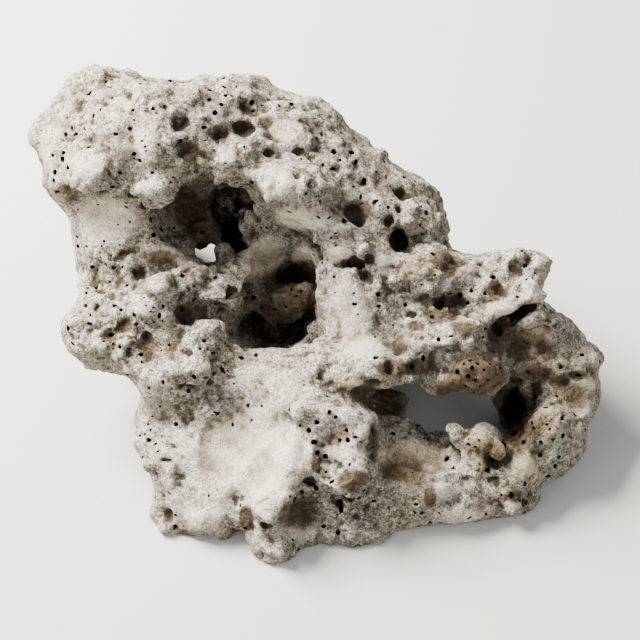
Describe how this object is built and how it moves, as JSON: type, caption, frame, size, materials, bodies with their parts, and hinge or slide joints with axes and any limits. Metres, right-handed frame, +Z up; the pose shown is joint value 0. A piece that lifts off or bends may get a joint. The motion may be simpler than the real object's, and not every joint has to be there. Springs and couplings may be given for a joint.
{
  "type": "aquarium base rock",
  "caption": "Porous reef limestone boulder with caves, a ring-shaped opening and pitted lumps, cut flat underneath so that it stands in an aquarium.",
  "frame": {"origin": "middle of the stone's length and width, on the surface that it stands on", "axes": "+Z up, +X along the stone's length to the right, and the carved face looks up and towards -Y"},
  "size_m": [0.2984, 0.2338, 0.1496],
  "materials": {
    "stone": "matte"
  },
  "bodies": {
    "root": {"rock": "stone"}
  },
  "joints": []
}
